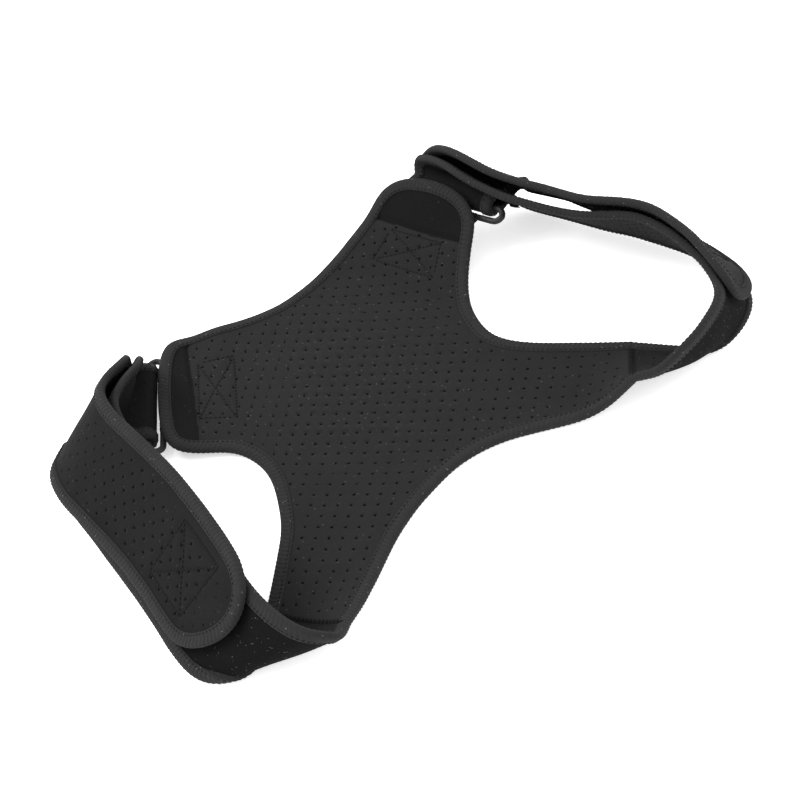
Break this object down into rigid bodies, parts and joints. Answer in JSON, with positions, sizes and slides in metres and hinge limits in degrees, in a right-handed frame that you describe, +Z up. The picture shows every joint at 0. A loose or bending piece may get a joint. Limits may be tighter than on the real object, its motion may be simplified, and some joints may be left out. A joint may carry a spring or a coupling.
{
  "type": "posture corrector",
  "caption": "Perforated foam fabric back panel with two shoulder straps that run through plastic rings and fasten back on themselves.",
  "frame": {"origin": "middle of the bounding box, on the floor it lies on", "axes": "+X across the panel from the left strap to the right strap, +Y towards the neck, +Z up from the floor"},
  "size_m": [0.4042, 0.2966, 0.065],
  "materials": {
    "foam_fabric": "matte perforated knit over foam",
    "binding_tape": "ribbed tape",
    "black_plastic": "satin",
    "webbing": "woven",
    "hook_tape": "hooked"
  },
  "bodies": {
    "root": {"back_panel": "foam_fabric", "panel_binding_upper": "binding_tape", "panel_binding_lower": "binding_tape", "strap_left": "foam_fabric", "strap_binding_left": "binding_tape", "strap_edge_low_left": "binding_tape", "strap_edge_high_left": "binding_tape", "ring_left": "black_plastic", "ring_tab_left": "webbing", "hook_pad_left": "hook_tape", "strap_right": "foam_fabric", "strap_binding_right": "binding_tape", "strap_edge_low_right": "binding_tape", "strap_edge_high_right": "binding_tape", "ring_right": "black_plastic", "ring_tab_right": "webbing", "hook_pad_right": "hook_tape"}
  },
  "joints": []
}
